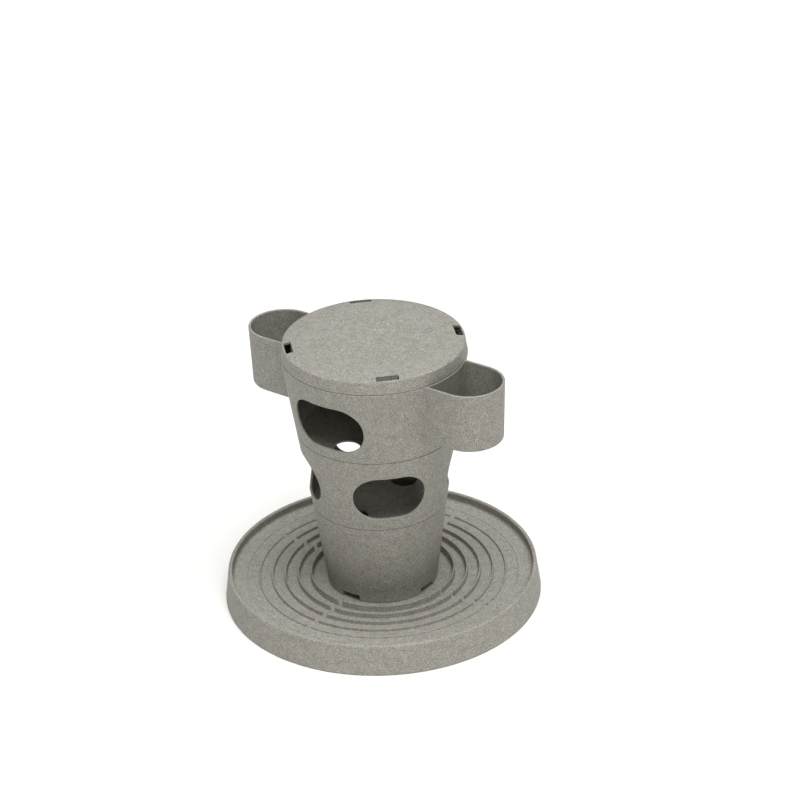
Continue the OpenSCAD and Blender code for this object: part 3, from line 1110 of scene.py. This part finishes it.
@dataclass
class Lid(Moulding):
    """The lid: a crowned cap with a tight shoulder, four slots over its lugs, and a spigot underneath."""

    out_r: float = mm(85.3)
    low_z: float = mm(253.75)
    top_z: float = mm(268.8)
    crown: float = mm(2.8)
    crown_r: float = mm(52)
    shoulder: float = mm(2)
    blend: float = mm(0.37)
    lean: float = mm(1.5)
    wall: float = mm(2.5)
    spigot_t: float = mm(2.2)
    mould_slot: Opening = Opening(mm(20.6), mm(6.6), mm(1.4), mm(78.2))
    ring_in: float = mm(68)
    ring_out: Point2 = (mm(83.2), mm(82.6))
    carrier: Cone = UPPER_WALL
    bayonet: Bayonet = field(default_factory=lambda: Bayonet(reach=mm(7.4)))

    @property
    def edge_r(self) -> float:
        """Radius of the middle of the shoulder's rounding."""
        return self.out_r - self.lean - self.shoulder

    @property
    def shoulder_z(self) -> float:
        """Height of the middle of the shoulder's rounding."""
        return self.top_z - self.crown - self.shoulder

    def crowned(self, r: np.ndarray) -> np.ndarray:
        """Height of the crown: level in the middle, then falling ever faster."""
        past = np.clip(r - self.crown_r, 0, None) / (self.edge_r - self.crown_r)
        return self.top_z - self.crown * past ** 2

    def top(self, r: np.ndarray) -> np.ndarray:
        """Height of the upper face, out into the shoulder.

        Args:
            r: the radius, or many.

        Returns:
            The height at each.
        """
        past = np.clip(r - self.edge_r, 0, self.shoulder)
        shoulder = self.shoulder_z + np.sqrt(self.shoulder ** 2 - past ** 2)
        return np.where(past > self.blend, shoulder, self.crowned(r))

    def under(self, r: np.ndarray) -> np.ndarray:
        """Height of the lower face at a radius."""
        return self.crowned(r) - self.wall

    def shape(self, shell: Shell) -> None:
        """Adds the lid's surfaces.

        Args:
            shell: the shell that they are added to.
        """
        pitch, near, (far, far_under) = 2.0, self.ring_in, self.ring_out
        angles, slot_half = np.arange(0, 360, pitch), 8 * pitch
        for height in (self.top, self.under):
            r = np.concatenate([[0], np.linspace(self.ring_in * 0.06, near, 18)])
            shell.grid(turned(np.stack([r, height(r)], axis=1), angles), rows=Edge.CLOSED)
        first = math.asin((far - self.edge_r) / self.shoulder)
        turn = np.linspace(first, math.pi / 2, 6)
        shoulder = np.stack([self.edge_r + self.shoulder * np.sin(turn),
                             self.shoulder_z + self.shoulder * np.cos(turn)], axis=1)
        side = rounded([(self.out_r - self.lean, self.shoulder_z, 0), (self.out_r, self.low_z, mm(0.5)),
                        (self.out_r - self.wall, self.low_z, mm(0.5)),
                        (far_under, float(self.under(far_under)), 0)], Edge.OPEN)
        shell.grid(turned(np.concatenate([shoulder, side[1:]]), angles), rows=Edge.CLOSED)
        lathe = np.linspace(0, 1, 15)
        part = FlatSector((near, far), slot_half, 16, len(lathe) - 1)
        for a in SIDES:
            part.add(shell, a, self.mould_slot, mm(0.4), self.top, self.under, (near, far_under))
            plain = np.arange(a + slot_half, a + 90 - slot_half + 0.1, pitch)
            for height, end in ((self.top, far), (self.under, far_under)):
                r = near + (end - near) * lathe
                shell.grid(turned(np.stack([r, height(r)], axis=1), plain))
        b, seam = self.bayonet, self.carrier.high_z
        mouth = self.carrier.inner(seam)
        out = mouth - b.reach - b.gap
        end, root = seam - b.lug_low - b.stop_set, float(self.under(out)) + mm(0.4)
        inside = out - self.spigot_t
        spigot = rounded([(out, root, 0), (out, end, mm(0.5)), (inside, end, mm(0.5)), (inside, root, 0)],
                         Edge.CLOSED)
        shell.grid(turned(spigot, angles), rows=Edge.CLOSED, columns=Edge.CLOSED)
        b.add_lugs(shell, seam, mouth, self.carrier.lean)


# ---------------------------------------------------------------------------------------------
# The studio
# ---------------------------------------------------------------------------------------------
@dataclass(frozen=True)
class StudioFloor:
    """A plain, very pale floor."""

    size: float = 14.0
    colour: str = "f4f3f0"

    def build(self) -> None:
        """Makes the floor."""
        half = self.size / 2
        corners = [(-half, -half, 0), (half, -half, 0), (half, half, 0), (-half, half, 0)]
        mesh = bpy.data.meshes.new("studio_floor")
        mesh.from_pydata(corners, [], [(0, 1, 2, 3)])
        floor = bpy.data.objects.new("studio_floor", mesh)
        bpy.context.scene.collection.objects.link(floor)
        floor.location.z = -mm(0.3)
        material = bpy.data.materials.new("painted_studio_floor")
        material.use_nodes = True
        shader = material.node_tree.nodes["Principled BSDF"]
        shader.inputs["Base Color"].default_value = linear(self.colour)
        shader.inputs["Roughness"].default_value = 0.9
        mesh.materials.append(material)


@dataclass(frozen=True)
class Softbox:
    """One square area light that looks at the middle of the feeder."""

    name: str
    place: Corner
    size: float
    watts: float
    colour: Corner = (1.0, 1.0, 1.0)
    target: Corner = (0.0, 0.0, 0.13)

    def build(self) -> None:
        """Makes the light."""
        light = bpy.data.lights.new(self.name, "AREA")
        light.size = self.size
        light.energy = self.watts
        light.color = self.colour
        lamp = bpy.data.objects.new(self.name, light)
        lamp.location = self.place
        lamp.rotation_euler = (Vector(self.target) - Vector(self.place)).to_track_quat("-Z", "Y").to_euler()
        bpy.context.scene.collection.objects.link(lamp)


@dataclass(frozen=True)
class Ceiling:
    """A wide, even light from above, as from a whole ceiling of softboxes: the same all over the floor."""

    place: Corner = (0.12, -0.35, 2.0)
    spread: float = 60.0
    strength: float = 3.8
    colour: Corner = (0.985, 0.992, 1.0)

    def build(self) -> None:
        """Makes the light."""
        light = bpy.data.lights.new("ceiling_light", "SUN")
        light.angle = math.radians(self.spread)
        light.energy = self.strength
        light.color = self.colour
        lamp = bpy.data.objects.new("ceiling_light", light)
        lamp.location = self.place
        lamp.rotation_euler = (-Vector(self.place)).to_track_quat("-Z", "Y").to_euler()
        bpy.context.scene.collection.objects.link(lamp)


@dataclass(frozen=True)
class Studio:
    """Floor, daylight-like surroundings, an even ceiling light and a softbox in front."""

    surroundings: float = 0.1
    tint: Corner = (1.0, 0.992, 0.972)
    ceiling: Ceiling = Ceiling()
    boxes: tuple[Softbox, ...] = (Softbox("front_softbox", (0.05, -2.0, 1.2), 0.9, 6.0, (1.0, 0.985, 0.955)),)

    def build(self) -> None:
        """Makes the floor, the surroundings and the lights."""
        StudioFloor().build()
        world = bpy.data.worlds.new("pale_surroundings")
        world.use_nodes = True
        background = world.node_tree.nodes["Background"]
        background.inputs["Color"].default_value = (*self.tint, 1.0)
        background.inputs["Strength"].default_value = self.surroundings
        bpy.context.scene.world = world
        self.ceiling.build()
        for box in self.boxes:
            box.build()
        bpy.context.scene.view_settings.view_transform = "Standard"


@dataclass(frozen=True)
class StudioCamera:
    """The camera: a long lens in front of the feeder, a little to its left, looking down on it."""

    distance: float = 2.2635
    height: float = 1.4281
    azimuth: float = -8.0
    pan: float = -0.56
    tilt: float = 28.44
    roll: float = -2.06
    lens: float = 126.0

    def build(self) -> None:
        """Makes the camera and hands it to the scene."""
        data = bpy.data.cameras.new("studio_camera")
        data.lens = self.lens
        data.sensor_width = 36.0
        data.clip_start, data.clip_end = 0.05, 60.0
        camera = bpy.data.objects.new("studio_camera", data)
        bearing = math.radians(self.azimuth)
        outwards = Vector((math.sin(bearing), -math.cos(bearing), 0))
        place = outwards * self.distance + Vector((0, 0, self.height))
        turn = (Matrix.Rotation(math.radians(self.azimuth + self.pan), 4, "Z")
                @ Matrix.Rotation(math.radians(90 - self.tilt), 4, "X")
                @ Matrix.Rotation(math.radians(self.roll), 4, "Z"))
        camera.matrix_world = Matrix.Translation(place) @ turn
        bpy.context.scene.collection.objects.link(camera)
        bpy.context.scene.camera = camera


def main() -> None:
    """Builds the whole scene round the frame."""
    logging.basicConfig(level=logging.INFO, format="%(name)s: %(message)s")
    StudioCamera().build()
    composite = FibreComposite().make()
    mouldings: list[Moulding] = [
        Tray("tray", "base", composite),
        LowerCup("lower_cup", "lower", composite),
        StackingCup("middle_cup", "middle", composite),
        UpperCup("upper_cup", "upper", composite),
        Lid("lid", "cover", composite),
    ]
    for moulding in mouldings:
        moulding.build()
    Studio().build()


if __name__ == "__main__":
    main()
